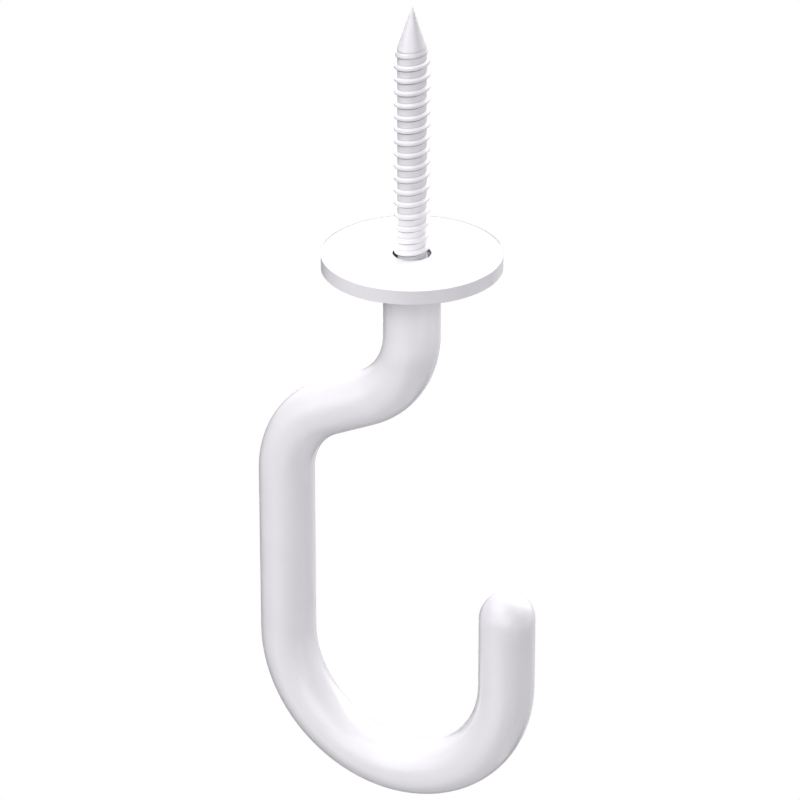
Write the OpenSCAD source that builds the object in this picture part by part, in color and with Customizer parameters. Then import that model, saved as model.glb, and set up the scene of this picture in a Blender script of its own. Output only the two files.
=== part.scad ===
// Ceiling hook: a round steel wire bent into an offset J, with a wood screw formed on its upper
// end and a loose flat washer that sits on the shoulder below the screw. Sizes in millimetres.
// The origin is on the screw's axis, at the washer's top face, which lies against the ceiling.
// The hook hangs in the XZ plane: its upright stands towards -X and its tip towards +X.

/* [Wire] */
// Diameter of the coated wire
wire_d = 6.35; // [5:0.05:10]
// Straight stem from the shoulder to the first bend
stem_len = 8.15; // [2:0.05:30]
// Radius of the two bends that carry the upright to one side, at the wire's centre line
offset_bend_r = 10.1; // [6:0.1:20]
// Angle of each of those two bends
offset_bend_angle = 64.17; // [20:0.01:85]
// Straight slope between them
slope_len = 5.25; // [1:0.05:20]
// Straight upright from the second bend to the bowl
upright_len = 20.35; // [5:0.05:60]
// Radius of the half-round bowl, at the wire's centre line
bowl_r = 14.15; // [8:0.05:30]
// Straight tip from the bowl to the start of its round end
tip_len = 8.4; // [1:0.1:30]

/* [Screw] */
// Length of the screw above the washer, with its point
screw_len = 28.7; // [14:0.1:60]
// Length of the plain point
point_len = 4.9; // [3:0.1:9]
// Radius that blends the point's cone into the core
point_blend_r = 3; // [2:0.1:6]
// Diameter over the thread
thread_d = 3.85; // [2.5:0.05:5.5]
// Height of the thread above the core
thread_depth = 0.375; // [0.2:0.005:0.6]
// Rise of the thread in one turn
thread_pitch = 1.45; // [1.1:0.05:2.5]
// Width of the thread where it leaves the core
thread_root_w = 0.6; // [0.5:0.05:0.9]
// Width of the thread's crest
thread_crest_w = 0.25; // [0.1:0.05:0.45]
// How far the crest leans towards the point, from the middle of the root
thread_lean = 0.1; // [0:0.01:0.15]
// Length below the point over which the thread rises to its full height
thread_lead_in = 2.4; // [0.5:0.1:6]
// Turns over which the thread sinks back into the core inside the washer
thread_run_out = 0.5; // [0.3:0.1:1.5]
// Direction in which the thread crosses the washer's top face, from +X
thread_angle = 209; // [0:1:359]

/* [Washer] */
// Outer diameter of the washer
washer_d = 19.9; // [12:0.1:40]
// Thickness of the washer
washer_t = 1.65; // [0.8:0.05:4]
// Difference between the washer's hole and the thread that passes through it
hole_clearance = 0.35; // [0.1:0.05:0.6]

/* [Hidden] */
$fn = 64;
coat_colour = [0.93, 0.93, 0.94];
// Angle by which a bend's arc is made too long before its end is cut square
bend_spare = 5;
// The screw's core runs this far down into the stem
core_sink = 1;
// The thread's root lies this deep in the core, and its two ends this deep
thread_sink = 0.12;
thread_end_sink = 0.02;
// Facets in one turn of the thread, and bands in the blend of the point
turn_steps = 24;
blend_steps = 4;
shoulder_z = -washer_t;
core_r = thread_d / 2 - thread_depth;
hole_d = thread_d + hole_clearance;
// The point starts at point_z, where its blend leaves the core, and its cone touches that blend
point_z = screw_len - point_len;
blend_x = point_blend_r - core_r;
cone_angle = atan2(point_len, blend_x) - acos(point_blend_r / norm([point_len, blend_x]));
// The thread starts half way down the washer's hole and ends where its crest has passed the point's start
thread_low_z = -washer_t / 2;
thread_high_z = point_z - thread_lean + thread_crest_w / 2;
thread_steps = ceil((thread_high_z - thread_low_z) / thread_pitch * turn_steps);
// Run of the lower and the upper flank along the axis, for each unit of height
flank = (thread_root_w - thread_crest_w) / 2 / thread_depth;
low_flank = flank + thread_lean / thread_depth;
high_flank = flank - thread_lean / thread_depth;

// A straight length of wire down from the origin, and what follows it
module straight(length) {
    translate([0, 0, -length]) {
        cylinder(d = wire_d, h = length);
        children();
    }
}

// The place where a bend from the origin ends, facing on along the wire
module bend_end(radius, angle) {
    side = sign(angle);
    translate([side * radius, 0, 0])
        rotate([0, -angle, 0])
            translate([-side * radius, 0, 0])
                children();
}

// A bend from straight down towards +X, or towards -X for a negative angle, and what follows it.
// The arc runs a little past its angle and is cut square there, on the face where the next length
// starts. Its section is turned so that the seam stays on the wire's +X side all the way.
module bend(radius, angle) {
    side = sign(angle);
    half_turn = side > 0 ? 180 : 0;
    difference() {
        translate([side * radius, 0, 0])
            rotate([-90, 0, half_turn])
                rotate_extrude(angle = abs(angle) + bend_spare)
                    translate([radius, 0])
                        rotate(half_turn)
                            circle(d = wire_d);
        bend_end(radius, angle)
            translate([-wire_d, -wire_d, -2 * wire_d])
                cube(2 * wire_d);
    }
    bend_end(radius, angle)
        children();
}

// The half-ball that closes the wire's lower end
module round_end() {
    rotate_extrude()
        intersection() {
            circle(d = wire_d);
            translate([0, -wire_d / 2])
                square(wire_d / 2);
        }
}

// The wire in the order in which it is bent, down from the shoulder
module bent_wire() {
    translate([0, 0, shoulder_z])
        straight(stem_len)
            bend(offset_bend_r, -offset_bend_angle)
                straight(slope_len)
                    bend(offset_bend_r, offset_bend_angle)
                        straight(upright_len)
                            bend(bowl_r, 180)
                                straight(tip_len)
                                    round_end();
}

// The screw's core with its plain point
module core() {
    blend = [
        for (i = [0 : blend_steps])
            let (a = cone_angle * i / blend_steps)
                [point_blend_r * cos(a) - blend_x, point_z + point_blend_r * sin(a)]
    ];
    foot_z = shoulder_z - core_sink;
    rotate_extrude()
        polygon(concat([[0, foot_z], [core_r, foot_z]], blend, [[0, screw_len]]));
}

// Radius of the core at a height, up into the blend of its point
function core_r_at(z) = sqrt(point_blend_r ^ 2 - max(0, z - point_z) ^ 2) - blend_x;

// Share of its full height that the thread has below the point, at a height
function crest_rise(z) = sqrt(max(0, min(1, (point_z - z) / thread_lead_in)));

// The thread's section at one step: two corners sunk in the core and two on the crest. Each corner is
// a place along the axis, a depth below the core's surface, and a height above that.
function thread_section(step) =
    let (
        turn = step / turn_steps,
        middle_z = thread_low_z + thread_pitch * turn,
        angle = thread_angle + 360 * middle_z / thread_pitch,
        height = (thread_depth + thread_end_sink) * min(1, turn / thread_run_out),
        corners = [
            [-thread_root_w / 2 - low_flank * thread_sink, thread_sink, 0],
            [thread_lean - thread_crest_w / 2, thread_end_sink, height],
            [thread_lean + thread_crest_w / 2, thread_end_sink, height],
            [thread_root_w / 2 + high_flank * thread_sink, thread_sink, 0]
        ]
    ) [
        for (c = corners)
            let (z = middle_z + c[0], r = core_r_at(z) - c[1] + c[2] * crest_rise(z))
                [r * cos(angle), r * sin(angle), z]
    ];

// The right-hand thread, as one closed rib along its helix
module thread() {
    sides = 4;
    last = sides * thread_steps;
    walls = [
        for (i = [0 : thread_steps - 1], k = [0 : sides - 1])
            let (a = sides * i + k, b = sides * i + (k + 1) % sides)
                each [[a, b, b + sides], [a, b + sides, a + sides]]
    ];
    ends = [[3, 2, 1, 0], [for (k = [0 : sides - 1]) last + k]];
    polyhedron(points = [for (i = [0 : thread_steps]) each thread_section(i)], faces = concat(walls, ends));
}

// The hook: one wire from the screw's point to the round end
module hook() {
    color(coat_colour)
        union() {
            bent_wire();
            core();
            thread();
        }
}

// The loose washer on the shoulder
module washer() {
    color(coat_colour)
        translate([0, 0, shoulder_z])
            rotate_extrude()
                translate([hole_d / 2, 0])
                    square([(washer_d - hole_d) / 2, washer_t]);
}

hook();
washer();
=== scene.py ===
import math

import bpy
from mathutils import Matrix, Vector


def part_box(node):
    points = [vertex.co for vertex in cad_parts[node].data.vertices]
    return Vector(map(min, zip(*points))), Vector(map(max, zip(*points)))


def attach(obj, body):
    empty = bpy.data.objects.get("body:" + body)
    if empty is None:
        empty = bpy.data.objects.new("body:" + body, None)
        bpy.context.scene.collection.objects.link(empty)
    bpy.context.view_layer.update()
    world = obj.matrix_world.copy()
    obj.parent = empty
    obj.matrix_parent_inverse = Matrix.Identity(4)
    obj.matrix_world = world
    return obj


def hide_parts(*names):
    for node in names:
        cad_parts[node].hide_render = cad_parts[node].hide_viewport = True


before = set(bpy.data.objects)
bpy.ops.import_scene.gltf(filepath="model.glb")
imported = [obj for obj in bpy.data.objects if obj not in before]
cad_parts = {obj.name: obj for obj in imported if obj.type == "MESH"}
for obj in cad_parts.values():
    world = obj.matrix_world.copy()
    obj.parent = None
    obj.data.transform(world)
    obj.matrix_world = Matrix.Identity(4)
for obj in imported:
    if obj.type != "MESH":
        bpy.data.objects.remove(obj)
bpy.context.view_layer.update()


# Hook: one length of round steel wire. Its upper end is reduced to a core with a rolled thread and a
# plain point, the rest is bent cold round formers, and its lower end is rounded over. It is powder
# coated, and the coat softens every edge. Light and shade are painted into the coat's colour.
mm = 0.001
hook_low, hook_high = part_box("hook")
washer_low, washer_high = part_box("washer")

screw_top = hook_high.z
shoulder_z = washer_low.z
core_r = 1.6 * mm
point_len = 4.9 * mm
point_blend_r = 0.6 * mm
point_round = 0.012 * mm
point_rows = 16
thread_depth = 0.375 * mm
thread_pitch = 1.438 * mm
thread_root_w = 0.6 * mm
thread_crest_low = 0
thread_crest_high = 0.24 * mm
thread_lead_in = 2.4 * mm
thread_run_out = 0.5
thread_angle = math.radians(182)
thread_soft = 0.025 * mm
screw_columns = 48

wire_r = hook_high.y
wire_columns = 2 * screw_columns
shoulder_round = 0.15 * mm
shoulder_support = 0.1 * mm
stem_len = 8.15 * mm
bend_r = 10.1 * mm
bend_angle = math.radians(64.17)
tip_len = 8.4 * mm
straight_step = 1.5 * mm
bend_step = math.radians(4)
round_steps = 4
dome_steps = 14

# The point's cone touches the blend that leaves the core at point_z, and its tip is a little blunt
point_z = screw_top - point_len
blend_x = point_blend_r - core_r
cone_angle = math.atan2(point_len, blend_x) - math.acos(point_blend_r / math.hypot(point_len, blend_x))
blunt_z = screw_top - point_round / math.sin(cone_angle)

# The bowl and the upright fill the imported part's box, and the straights between the bends follow
upright_x = hook_low.x + wire_r
tip_x = hook_high.x - wire_r
bowl_r = (tip_x - upright_x) / 2
bowl_z = hook_low.z + wire_r + bowl_r
slope_len = (-upright_x - 2 * bend_r * (1 - math.cos(bend_angle))) / math.sin(bend_angle)
offset_drop = 2 * bend_r * math.sin(bend_angle) + slope_len * math.cos(bend_angle)
upright_len = shoulder_z - stem_len - offset_drop - bowl_z


def flank_rise(low, high, value):
    """0 below low, 1 above high, and straight between them, with both corners softened by the coat."""
    past_low = math.hypot(value - low, thread_soft)
    past_high = math.hypot(value - high, thread_soft)
    return 0.5 + 0.5 * (past_low - past_high) / (high - low)


def core_radius(z):
    """Radius of the screw without its thread."""
    blend_angle = math.asin(min(1, max(0, z - point_z) / point_blend_r))
    if blend_angle < cone_angle:
        return point_blend_r * math.cos(blend_angle) - blend_x
    return (screw_top - z) * math.tan(cone_angle)


def screw_radius(angle, z):
    """Radius of the screw with its thread, in a direction from +X. The thread sinks at both ends."""
    turn = (z / thread_pitch - (angle - thread_angle) / math.tau + 0.5) % 1 - 0.5
    off_middle = turn * thread_pitch
    lower_flank = flank_rise(-thread_root_w / 2, thread_crest_low, off_middle)
    upper_flank = flank_rise(thread_crest_high, thread_root_w / 2, off_middle)
    lead_in = math.sqrt(min(1, max(0, point_z - z) / thread_lead_in))
    turns_up = z / thread_pitch - turn - shoulder_z / 2 / thread_pitch
    run_out = min(1, max(0, turns_up / thread_run_out))
    return core_radius(z) + thread_depth * min(lead_in, run_out, lower_flank * (1 - upper_flank))


def wire_side(heading):
    """The wire's side that faces +X where it heads straight down, after it has turned by heading."""
    return Vector((math.cos(heading), 0, math.sin(heading)))


def wire_along(heading):
    """The direction in which the wire runs on, after it has turned by heading from straight down."""
    return Vector((math.sin(heading), 0, -math.cos(heading)))


def ring(centre, heading, radii):
    """Points round the wire at one place, one for each radius."""
    side = wire_side(heading)
    across = Vector((0, 1, 0))
    points = []
    for i, radius in enumerate(radii):
        angle = math.tau * i / len(radii)
        points.append(centre + radius * (math.cos(angle) * side + math.sin(angle) * across))
    return points


def level_ring(z, radius, columns):
    """Points round the screw's axis at one height, all at one radius."""
    return ring(Vector((0, 0, z)), 0, [radius] * columns)


def screw_rows():
    """Rings from the blunt tip down to the shoulder. A thread row is one column's rise of the thread."""
    rows = [[Vector((0, 0, blunt_z + point_round))]]
    for i in range(1, round_steps + 1):
        angle = math.pi / 2 + (cone_angle - math.pi / 2) * i / round_steps
        z = blunt_z + point_round * math.sin(angle)
        rows.append(level_ring(z, point_round * math.cos(angle), screw_columns))
    row_step = thread_pitch / screw_columns
    thread_rows = math.ceil((point_z + thread_root_w - shoulder_z) / row_step)
    thread_top = shoulder_z + thread_rows * row_step
    cone_top = blunt_z + point_round * math.sin(cone_angle)
    for i in range(1, point_rows):
        z = cone_top + (thread_top - cone_top) * i / point_rows
        rows.append(level_ring(z, core_radius(z), screw_columns))
    angles = [math.tau * k / screw_columns for k in range(screw_columns)]
    for i in range(thread_rows, -1, -1):
        z = shoulder_z + i * row_step
        rows.append(ring(Vector((0, 0, z)), 0, [screw_radius(angle, z) for angle in angles]))
    return rows


def shoulder_rows():
    """Rings across the flat shoulder, and round its edge, with twice the screw's columns outside."""
    flat_r = wire_r - shoulder_round
    rows = [
        level_ring(shoulder_z, core_r + shoulder_support, screw_columns),
        level_ring(shoulder_z, flat_r - shoulder_support, wire_columns),
    ]
    for i in range(round_steps + 1):
        angle = math.pi / 2 * i / round_steps
        drop = shoulder_round * (1 - math.cos(angle))
        radius = flat_r + shoulder_round * math.sin(angle)
        rows.append(level_ring(shoulder_z - drop, radius, wire_columns))
    return rows


def wire_rows():
    """Rings along the bent wire, each straight with the bend after it, and round its end."""
    runs = (
        (stem_len - shoulder_round, bend_r, -bend_angle),
        (slope_len, bend_r, bend_angle),
        (upright_len, bowl_r, math.pi),
        (tip_len, 0, 0),
    )
    full = [wire_r] * wire_columns
    place = Vector((0, 0, shoulder_z - shoulder_round))
    heading = 0
    rows = []
    for length, radius, angle in runs:
        straights = math.ceil(length / straight_step)
        for i in range(1, straights + 1):
            rows.append(ring(place + wire_along(heading) * length * i / straights, heading, full))
        place = place + wire_along(heading) * length
        swing = math.copysign(radius, angle)
        centre = place + swing * wire_side(heading)
        bends = math.ceil(abs(angle) / bend_step)
        for i in range(1, bends + 1):
            turned = heading + angle * i / bends
            rows.append(ring(centre - swing * wire_side(turned), turned, full))
        heading = heading + angle
        place = centre - swing * wire_side(heading)
    for i in range(1, dome_steps):
        angle = math.pi / 2 * i / dome_steps
        centre = place + wire_along(heading) * wire_r * math.sin(angle)
        rows.append(ring(centre, heading, [wire_r * math.cos(angle)] * wire_columns))
    rows.append([place + wire_along(heading) * wire_r])
    return rows


def cell_faces(upper, lower, k, slanted):
    """Faces between two rows at column k. The rows' corners are vertex numbers, and slanted cells are
    split along the thread's rise."""
    a, b = upper[k], upper[(k + 1) % len(upper)]
    if len(lower) == 2 * len(upper):
        c, d, e = lower[2 * k], lower[2 * k + 1], lower[(2 * k + 2) % len(lower)]
        return [(a, c, d), (a, d, b), (b, d, e)]
    c, d = lower[k % len(lower)], lower[(k + 1) % len(lower)]
    if len(lower) == 1:
        return [(a, c, b)]
    if slanted:
        return [(a, c, b), (c, d, b)]
    return [(a, c, d, b)]


def skin(name, rows, slanted_rows=0, closed=False):
    """A smooth piece over rows of points. A row of one point closes an end, the first slanted_rows
    rows hold a thread, and a closed skin goes on from its last row to its first."""
    points = []
    numbers = []
    for row in rows:
        numbers.append(range(len(points), len(points) + len(row)))
        points += row
    if closed:
        numbers.append(numbers[0])
    faces = []
    for i in range(len(numbers) - 1):
        upper, lower = numbers[i], numbers[i + 1]
        if len(upper) == 1:
            faces += [(upper[0], lower[k], lower[(k + 1) % len(lower)]) for k in range(len(lower))]
        else:
            for k in range(len(upper)):
                faces += cell_faces(upper, lower, k, i < slanted_rows)
    mesh = bpy.data.meshes.new(name)
    mesh.from_pydata(points, [], faces)
    mesh.shade_smooth()
    piece = bpy.data.objects.new(name, mesh)
    bpy.context.scene.collection.objects.link(piece)
    return piece


hook_rows = screw_rows()
slanted_rows = len(hook_rows) - 1
hook = skin("coated_hook", hook_rows + shoulder_rows() + wire_rows(), slanted_rows)

# The coat's colours, its painted light, painted shade and painted dark shade, and the size and strength
# of its fine detail
coat_white = (0.8, 0.8, 0.8, 1)
cloud_white = (0.775, 0.775, 0.78, 1)
painted_light_white = (0.97, 0.97, 0.97, 1)
painted_shade_grey = (0.68, 0.68, 0.69, 1)
painted_dark_grey = (0.03, 0.03, 0.032, 1)
cloud_size = 6 * mm
cloud_edge = (0.35, 0.75)
dry_spot_size = 2.5 * mm
peel_size = 0.9 * mm
peel_depth = 0.006 * mm
peel_strength = 0.25
satin_roughness = 0.34
dry_spot_roughness = 0.1
painted_shade_roughness = 0.1
painted_dark_roughness = 0.2
coat_gloss = {"IOR": 1.5, "Coat Weight": 1, "Coat IOR": 1.3, "Coat Roughness": 0.1}


class Shade:
    """A socket of a material, so that sums on it read as plain Python and add Math nodes."""

    def __init__(self, tree, socket=None):
        self.tree = tree
        self.socket = socket

    def node(self, kind, settings, sockets, output=0):
        """Adds a node of a kind, with its settings, then its sockets' values or links."""
        made = self.tree.nodes.new(kind)
        for name, value in settings.items():
            setattr(made, name, value)
        for name, value in sockets.items():
            if isinstance(value, Shade):
                self.tree.links.new(value.socket, made.inputs[name])
            else:
                made.inputs[name].default_value = value
        return Shade(self.tree, made.outputs[output])

    def math(self, operation, *values):
        return self.node("ShaderNodeMath", {"operation": operation}, dict(enumerate(values)))

    def __add__(self, other):
        return self.math("ADD", self, other)

    def __sub__(self, other):
        return self.math("SUBTRACT", self, other)

    def __rsub__(self, other):
        return self.math("SUBTRACT", other, self)

    def __mul__(self, other):
        return self.math("MULTIPLY", self, other)

    __radd__ = __add__
    __rmul__ = __mul__

    def root(self):
        return self.math("SQRT", self)

    def rise(self, low, high):
        """0 below low, 1 above high, and an even curve between them."""
        ends = {"Value": self, "From Min": low, "From Max": high}
        return self.node("ShaderNodeMapRange", {"interpolation_type": "SMOOTHSTEP"}, ends)

    def fall(self, low, high):
        """1 below low, 0 above high, and an even curve between them."""
        return 1 - self.rise(low, high)

    def speckle(self, size):
        """Soft noise from 0 to 1 whose spots are about size across."""
        grain = {"Vector": self, "Scale": 1 / size, "Detail": 2}
        return self.node("ShaderNodeTexNoise", {"noise_dimensions": "3D"}, grain)

    def blend(self, first, second):
        """A colour between two, by this value. The Mix node's colour sockets go by their numbers."""
        mix = {"data_type": "RGBA"}
        return self.node("ShaderNodeMix", mix, {0: self, 6: first, 7: second}, output=2)


def start_coat(name):
    """A new material, its shader, and the place on the piece that its patterns are set out from."""
    material = bpy.data.materials.new(name)
    material.use_nodes = True
    shader = material.node_tree.nodes["Principled BSDF"]
    place = Shade(material.node_tree).node("ShaderNodeTexCoord", {}, {}, output="Object")
    return material, shader, place


def split(place):
    """The X, Y and Z of a place."""
    return [place.node("ShaderNodeSeparateXYZ", {}, {"Vector": place}, output=axis) for axis in "XYZ"]


def off_thread(x, y, z):
    """How far a place is above the middle of the nearest turn of the thread."""
    turns = z * (1 / thread_pitch) - (y.math("ARCTAN2", y, x) - thread_angle) * (1 / math.tau)
    return (turns.math("FRACT", turns + 0.5) - 0.5) * thread_pitch


def lay_coat(shader, place, painted_light, painted_shade, painted_dark_shade):
    """The powder coat: satin below a fine clear skin, with faint clouds and a fine orange peel that
    melts flat. Painted light makes it whiter, painted shade makes it greyer and rougher, and painted
    dark shade makes it near black and rougher still."""
    clouds = place.speckle(cloud_size).rise(*cloud_edge)
    full_colour = painted_light.blend(clouds.blend(coat_white, cloud_white), painted_light_white)
    colour = painted_dark_shade.blend(painted_shade.blend(full_colour, painted_shade_grey), painted_dark_grey)
    dry_spots = dry_spot_roughness * place.speckle(dry_spot_size)
    roughness = satin_roughness + dry_spots + painted_shade_roughness * painted_shade + painted_dark_roughness * painted_dark_shade
    peel = {"Height": place.speckle(peel_size), "Strength": peel_strength, "Distance": peel_depth}
    normal = place.node("ShaderNodeBump", {}, peel)
    for name, value in {"Base Color": colour, "Roughness": roughness, "Normal": normal}.items():
        place.tree.links.new(value.socket, shader.inputs[name])
    for name, value in coat_gloss.items():
        shader.inputs[name].default_value = value


# The side towards which painted light grows and painted shade fades, and where the painted light and
# shade change. A pair of values is where a change starts and ends: above the middle of a turn, up the
# hook, along X where the tip starts, or towards the lit side.
lit_side_x = 0.87
lit_side_y = 0.49
flank_start = (-0.31 * mm, -0.27 * mm)
flank_end = (-0.07 * mm, -0.02 * mm)
ridge_start = (0.2 * mm, 0.26 * mm)
ridge_end = (0.38 * mm, 0.42 * mm)
root_end = (0.45 * mm, 0.55 * mm)
ridge_lit_side = (-1.8 * mm, 0.2 * mm)
shoulder_edge = (shoulder_z, shoulder_z + 0.1 * mm)
screw_start = (-0.2 * mm, 0.1 * mm)
screw_fade = (0, 5 * mm)
last_ridge = (point_z - 1.3 * mm, point_z - 0.4 * mm)
last_flank = (point_z - 1.6 * mm, point_z + 0.6 * mm)
last_root = (point_z + 0.2 * mm, point_z + 0.6 * mm)
stem_shade_fade = (shoulder_z - 5.5 * mm, shoulder_z - 2 * mm)
stem_light_start = (-13 * mm, -10 * mm)
stem_light_end = (-8.5 * mm, -5 * mm)
tip_start = (6 * mm, 8 * mm)
tip_inner_side = (-2.4 * mm, 0)
tip_inner_z = (-42.5 * mm, -40 * mm)
tip_outer_side = (0.5 * mm, 1.5 * mm)
tip_outer_z = (-41 * mm, -40 * mm)

# How strong the painted light, painted shade and painted dark shade are there
stem_painted_light = 0.5
tip_painted_light = 0.38
screw_painted_shade = 0.35
flank_painted_shadow = 0.6
root_painted_shade = 0.12

hook_coat, hook_shader, hook_place = start_coat("hook_coat")
x, y, z = split(hook_place)
above_turn = off_thread(x, y, z)
to_lit_side = lit_side_x * x + lit_side_y * y
on_screw = z.rise(*screw_start)
above_shoulder = z.rise(*shoulder_edge)

# Each turn has a painted highlight on its top towards the lit side, a painted shadow on its lower
# flank, and painted shade in the root above it
ridge = above_turn.rise(*ridge_start) * above_turn.fall(*ridge_end) * on_screw * z.fall(*last_ridge)
root = above_turn.rise(*ridge_end) * above_turn.fall(*root_end) * on_screw * z.fall(*last_root)
flank = above_turn.rise(*flank_start) * above_turn.fall(*flank_end) * on_screw * z.fall(*last_flank)
painted_highlight_ridge = ridge * to_lit_side.rise(*ridge_lit_side)
# Painted shade on the screw's core, growing up the screw, and painted light on the screw in the washer's
# hole
up_screw = z.rise(*screw_fade) * (1 - ridge)
in_washer = above_shoulder * (1 - on_screw)

# Painted shade on the stem right under the washer and on the tip's inner side, and painted light
# lower down the stem and on the tip's outer side
under_washer = z.rise(*stem_shade_fade) * (1 - above_shoulder)
down_stem = z.rise(*stem_light_start) * z.fall(*stem_light_end)
on_tip = x.rise(*tip_start)
past_tip = to_lit_side - lit_side_x * tip_x
tip_inside = past_tip.fall(*tip_inner_side) * z.rise(*tip_inner_z) * on_tip
tip_outside = past_tip.rise(*tip_outer_side) * z.rise(*tip_outer_z) * on_tip

# The hook's painted light, painted shade and painted dark shade
painted_light = painted_highlight_ridge + in_washer + stem_painted_light * down_stem + tip_painted_light * tip_outside
painted_shade = root + screw_painted_shade * up_screw + under_washer + tip_inside
painted_dark_shade = flank_painted_shadow * flank + root_painted_shade * root
lay_coat(hook_shader, hook_place, painted_light, painted_shade, painted_dark_shade)
hook.data.materials.append(hook_coat)
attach(hook, "root")
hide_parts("hook")


# Washer: a flat disc stamped from steel sheet, with a clearance hole for the screw, and coated like
# the hook. It slips over the screw, rests loose on the shoulder and is pressed to the ceiling.
washer_r = washer_high.x
hole_r = 2.1 * mm
washer_round = 0.06 * mm
washer_support = 0.12 * mm
washer_columns = 192


def washer_rows():
    """Rings round the washer's section: its top outwards, its rim, its underside and its hole. One lies
    close before and after each rounded corner, so that the flats stay flat."""
    low = washer_low.z + washer_round
    high = washer_high.z - washer_round
    outer = washer_r - washer_round
    inner = hole_r + washer_round
    corners = ((outer, high), (outer, low), (inner, low), (inner, high))
    profile = []
    for i, (corner_r, corner_z) in enumerate(corners):
        start = math.pi / 2 * (1 - i)
        step_r = washer_support * math.cos(start)
        step_z = washer_support * math.sin(start)
        arc = []
        for k in range(round_steps + 1):
            angle = start - math.pi / 2 * k / round_steps
            radius = corner_r + washer_round * math.cos(angle)
            arc.append((radius, corner_z + washer_round * math.sin(angle)))
        first_r, first_z = arc[0]
        last_r, last_z = arc[-1]
        before = (first_r - step_z, first_z + step_r)
        after = (last_r - step_r, last_z - step_z)
        profile += [before, *arc, after]
    return [level_ring(z, radius, washer_columns) for radius, z in profile]


washer = skin("coated_washer", washer_rows(), closed=True)

# Painted dark shade on the hole's far wall, but for a painted lit patch low on the lit side, and
# painted shade along the top's far edge
hole_edge = (hole_r, hole_r + washer_round)
hole_top = (-0.14 * mm, -0.06 * mm)
wall_side = (-0.8 * mm, 0.2 * mm)
lit_patch_side = (0, 0.5 * mm)
lit_patch_top = (-0.5 * mm, -0.35 * mm)
rim_start = (washer_r - 0.28 * mm, washer_r - 0.2 * mm)
top_start = (-washer_round, -washer_round / 2)
edge_shade_side = (0, 4 * mm)
rim_painted_shade = 0.27
wall_painted_shade = 0.93
edge_shade_strength = 0.5

washer_coat, washer_shader, washer_place = start_coat("washer_coat")
x, y, z = split(washer_place)
off_axis = (x * x + y * y).root()
to_lit_side = lit_side_x * x + lit_side_y * y
far_side = lit_side_x * y - lit_side_y * x
on_top = z.rise(*top_start)
near_rim = off_axis.rise(*rim_start)
in_hole = off_axis.fall(*hole_edge) * z.fall(*hole_top)
painted_lit_patch = to_lit_side.rise(*lit_patch_side) * z.fall(*lit_patch_top)
wall = in_hole * far_side.rise(*wall_side) * (1 - painted_lit_patch)
# Painted shade along the far edge of the top
painted_edge_shade = near_rim * far_side.rise(*edge_shade_side) * on_top

# Painted light on the top and in the hole, and painted shade on the rim's side and along the far edge
painted_light = on_top * (1 - near_rim) + in_hole
painted_shade = painted_edge_shade + rim_painted_shade * (near_rim * (1 - on_top))
painted_dark_shade = wall_painted_shade * wall + edge_shade_strength * painted_edge_shade
lay_coat(washer_shader, washer_place, painted_light, painted_shade, painted_dark_shade)
washer.data.materials.append(washer_coat)
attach(washer, "root")
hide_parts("washer")


# Floor: a plain white sweep far below the hook, which hangs free, so that no shadow shows on it. It
# is lit by itself and only the camera sees it, so it throws no light up at the hook.
floor_z = -0.5
floor_half = 6
floor_corners = ((-1, -1), (1, -1), (1, 1), (-1, 1))
floor_points = [(side_x * floor_half, side_y * floor_half, floor_z) for side_x, side_y in floor_corners]
floor_mesh = bpy.data.meshes.new("floor")
floor_mesh.from_pydata(floor_points, [], [range(len(floor_points))])
floor_paint = bpy.data.materials.new("floor_paint")
floor_paint.use_nodes = True
floor_shader = floor_paint.node_tree.nodes["Principled BSDF"]
floor_shader.inputs["Base Color"].default_value = (0, 0, 0, 1)
floor_shader.inputs["Specular IOR Level"].default_value = 0
floor_shader.inputs["Emission Color"].default_value = (1, 1, 1, 1)
floor_shader.inputs["Emission Strength"].default_value = 1
floor_mesh.materials.append(floor_paint)
floor = bpy.data.objects.new("floor", floor_mesh)
bpy.context.scene.collection.objects.link(floor)
floor.visible_diffuse = False
floor.visible_glossy = False
floor.visible_shadow = False


# Light: a white room that only the camera sees, and soft studio boxes all round the hook. The strong
# ones stand high behind it and at its left and front. The weak ones behind it draw its outlines, and
# those below lift its underside.
room = bpy.data.worlds.new("room")
bpy.context.scene.world = room
room.use_nodes = True
room.node_tree.nodes["Background"].inputs["Color"].default_value = (1, 1, 1, 1)
room.cycles_visibility.diffuse = False
room.cycles_visibility.glossy = False

camera_azimuth = math.radians(29.19)
light_colour = (0.976, 0.951, 1)
light_distance = 1
light_aim = Vector((0, 0, -20)) * mm

# The widths and heights of the boxes
wide = (1, 1)
square = (0.7, 0.7)
tall = (0.7, 1.3)
small = (0.5, 0.5)
strip = (0.36, 0.55)
short_strip = (0.25, 0.3)


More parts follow.
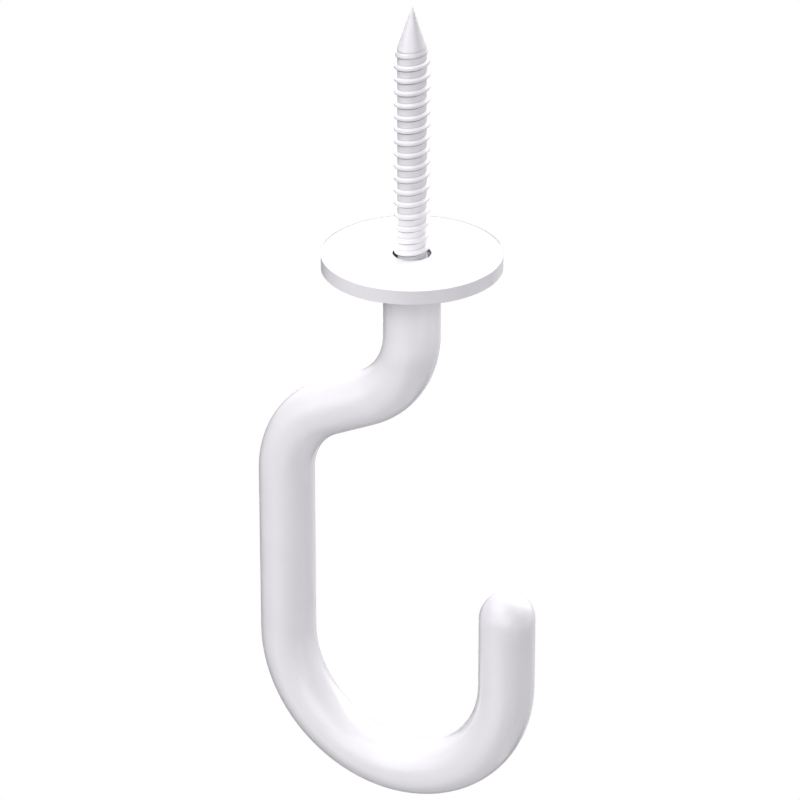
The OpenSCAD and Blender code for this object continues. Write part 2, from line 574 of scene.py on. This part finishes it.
def direction(azimuth, elevation):
    """The direction from the hook at an angle round it, from the front to the right, and upwards."""
    level = math.cos(elevation)
    return Vector((level * math.sin(azimuth), -level * math.cos(azimuth), math.sin(elevation)))


def softbox(name, azimuth, elevation, size, power):
    """A soft light that faces the hook, at an angle from the camera's side to the right, and upwards."""
    light = bpy.data.lights.new(name, "AREA")
    light.shape = "RECTANGLE"
    light.size, light.size_y = size
    light.energy = power
    light.color = light_colour
    box = bpy.data.objects.new(name, light)
    towards = direction(camera_azimuth + math.radians(azimuth), math.radians(elevation))
    box.location = light_aim + light_distance * towards
    box.rotation_euler = (-towards).to_track_quat("-Z", "Y").to_euler()
    bpy.context.scene.collection.objects.link(box)


softbox("front", 0, 15, square, 3.85)
softbox("right_front", 45, -8, square, 2.4)
softbox("right", 90, -8, square, 2.08)
softbox("right_back", 135, 15, square, 3.66)
softbox("right_back_high", 135, 50, square, 6.63)
softbox("right_back_low", 140, -25, square, 1.05)
softbox("back", 180, 12, square, 1.7)
softbox("back_edge", 180, -10, strip, 0.62)
softbox("right_edge", 163, -8, short_strip, 0.3)
softbox("back_high", 202, 50, wide, 4.12)
softbox("back_low", 180, -40, square, 0.63)
softbox("left_back", 212, 5, small, 0.68)
softbox("left_high", -90, 50, square, 4.73)
softbox("left", -70, 15, square, 2.08)
softbox("left_front", -45, 32, tall, 5.39)
softbox("left_low", -45, -50, square, 1.64)
softbox("right_low", 90, -50, square, 0.95)
softbox("below", 0, -89.9, wide, 1.67)


# Camera: a long lens that looks down on the hook from the front right, as in the photograph. The view
# shows the lit colours as they are.
camera_elevation = math.radians(26.36)
camera_distance = 515.2 * mm
camera_target = Vector((-1.493, 0, -18.243)) * mm
camera = bpy.data.objects.new("camera", bpy.data.cameras.new("camera"))
camera.data.sensor_width = 36
camera.data.lens = 209.93
camera_back = direction(camera_azimuth, camera_elevation)
camera.location = camera_target + camera_distance * camera_back
camera.rotation_euler = (-camera_back).to_track_quat("-Z", "Y").to_euler()
bpy.context.scene.collection.objects.link(camera)
bpy.context.scene.camera = camera
bpy.context.scene.view_settings.view_transform = "Standard"
